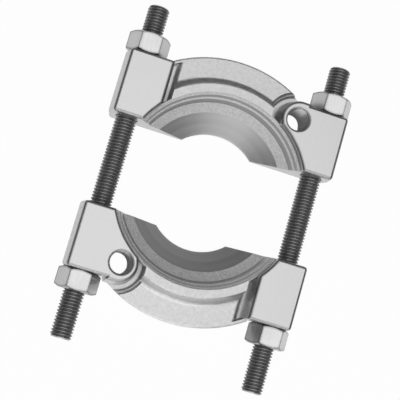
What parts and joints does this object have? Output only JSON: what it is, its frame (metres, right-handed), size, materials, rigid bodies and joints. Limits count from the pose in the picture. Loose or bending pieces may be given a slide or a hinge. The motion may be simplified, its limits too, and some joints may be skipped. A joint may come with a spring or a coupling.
{
  "type": "bearing separator",
  "caption": "Split-jaw bearing separator: forged jaws with a bevelled bore, drawn together on threaded studs by hex nuts, with tapped holes for puller legs.",
  "frame": {"origin": "on the plane that the jaws rest on, below the middle of the box round the part", "axes": "+Z out of the front faces of the blocks, +Y along the studs, +X across them"},
  "size_m": [0.1752, 0.25, 0.032],
  "materials": {
    "jaw_steel": "satin forged steel with ground block faces and a turned inside",
    "stud_oxide": "black oxide",
    "nut_zinc": "bright zinc"
  },
  "bodies": {
    "studs": {"left_stud": "stud_oxide", "right_stud": "stud_oxide"},
    "rear_jaw": {"rear_jaw": "jaw_steel"},
    "rear_left_nut": {"rear_left_nut": "nut_zinc"},
    "rear_right_nut": {"rear_right_nut": "nut_zinc"},
    "front_jaw": {"front_jaw": "jaw_steel"},
    "front_left_nut": {"front_left_nut": "nut_zinc"},
    "front_right_nut": {"front_right_nut": "nut_zinc"}
  },
  "joints": [
    {"name": "rear_jaw_slide", "type": "slide", "parent": "studs", "child": "rear_jaw", "axis": [0, -1, 0], "range_m": [-0.0195, 0.033]},
    {"name": "rear_left_nut_turn", "type": "hinge", "parent": "rear_jaw", "child": "rear_left_nut", "pos_m": [-0.072, 0.0874, 0.016], "axis": [0, -1, 0], "range_deg": [-3041, 5145]},
    {"name": "rear_right_nut_turn", "type": "hinge", "parent": "rear_jaw", "child": "rear_right_nut", "pos_m": [0.072, 0.0874, 0.016], "axis": [0, -1, 0], "range_deg": [-3041, 5145]},
    {"name": "front_jaw_slide", "type": "slide", "parent": "studs", "child": "front_jaw", "axis": [0, 1, 0], "range_m": [-0.0315, 0.033]},
    {"name": "front_left_nut_turn", "type": "hinge", "parent": "front_jaw", "child": "front_left_nut", "pos_m": [-0.072, -0.075, 0.016], "axis": [0, 1, 0], "range_deg": [-4912, 5145]},
    {"name": "front_right_nut_turn", "type": "hinge", "parent": "front_jaw", "child": "front_right_nut", "pos_m": [0.072, -0.075, 0.016], "axis": [0, 1, 0], "range_deg": [-4912, 5145]}
  ],
  "couplings": [
    {"joint": "rear_left_nut_turn", "follows": "rear_jaw_slide", "rad_per_m": 2721.1},
    {"joint": "rear_right_nut_turn", "follows": "rear_jaw_slide", "rad_per_m": 2721.1},
    {"joint": "front_left_nut_turn", "follows": "front_jaw_slide", "rad_per_m": 2721.1},
    {"joint": "front_right_nut_turn", "follows": "front_jaw_slide", "rad_per_m": 2721.1}
  ]
}
